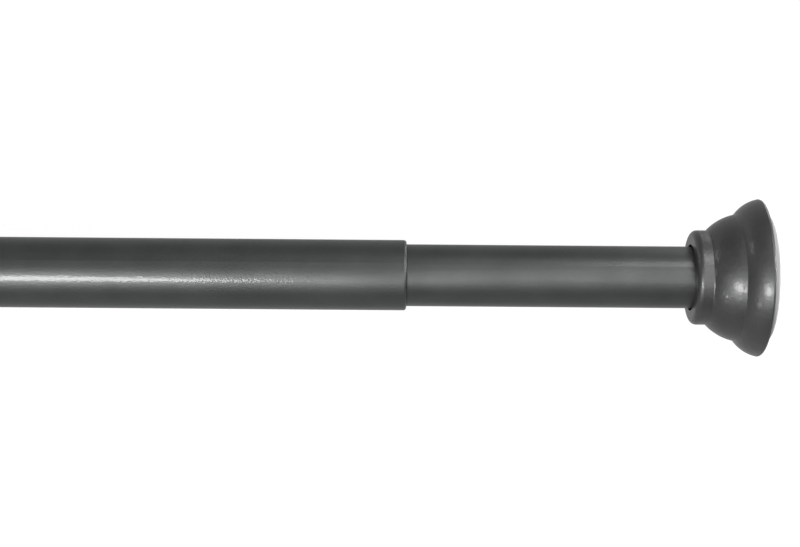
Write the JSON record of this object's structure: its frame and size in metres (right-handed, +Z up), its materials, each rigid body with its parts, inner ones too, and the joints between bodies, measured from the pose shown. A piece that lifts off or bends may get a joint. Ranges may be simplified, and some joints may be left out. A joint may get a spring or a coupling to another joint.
{
  "type": "spring tension rod",
  "caption": "Telescopic curtain tension rod: two sliding tubes with stepped bell end caps and rubber wall pads, held between walls by an inner spring and a twist lock.",
  "frame": {"origin": "centre of the outer tube's wall pad face, on the rod's axis", "axes": "+X along the rod from the outer tube's end to the inner tube's end, +Z up"},
  "size_m": [0.66, 0.056, 0.056],
  "materials": {
    "tube_paint": "satin",
    "cap_paint": "satin",
    "pad_rubber": "matte",
    "plug_plastic": "matte",
    "lock_plastic": "satin",
    "screw_zinc": "satin",
    "spring_wire": "polished"
  },
  "bodies": {
    "outer_rod": {"outer_tube": "tube_paint", "outer_tube_plug": "plug_plastic", "outer_cap": "cap_paint", "outer_pad": "pad_rubber", "outer_cap_screw": "screw_zinc"},
    "lock_sleeve": {"lock_collet": "lock_plastic"},
    "lock_nut": {"lock_cone": "lock_plastic"},
    "spindle_unit": {"spindle": "lock_plastic", "thrust_washer": "screw_zinc", "stop_washer": "screw_zinc", "stop_screw": "screw_zinc", "spring_seat": "plug_plastic", "seat_screw": "screw_zinc", "spring": "spring_wire"},
    "inner_rod": {"inner_tube": "tube_paint", "guide_bush": "plug_plastic", "spring_stop": "plug_plastic", "inner_tube_plug": "plug_plastic", "inner_cap": "cap_paint", "inner_pad": "pad_rubber", "inner_cap_screw": "screw_zinc"}
  },
  "joints": [
    {"name": "length_adjust", "type": "slide", "parent": "outer_rod", "child": "lock_sleeve", "axis": [1, 0, 0], "range_m": [-0.05, 0.25]},
    {"name": "twist", "type": "hinge", "parent": "lock_sleeve", "child": "spindle_unit", "pos_m": [0.15, 0, 0], "axis": [1, 0, 0], "range_deg": [0, 1080]},
    {"name": "cone_draw", "type": "slide", "parent": "lock_sleeve", "child": "lock_nut", "axis": [1, 0, 0], "range_m": [-0.0076, 0]},
    {"name": "spring_stroke", "type": "slide", "parent": "spindle_unit", "child": "inner_rod", "axis": [1, 0, 0], "range_m": [-0.03, 0], "stiffness_N_per_m": 2530, "springref_m": 0.012, "deforming": ["spring"]}
  ],
  "couplings": [
    {"joint": "cone_draw", "follows": "twist", "m_per_rad": -0.00039789}
  ]
}
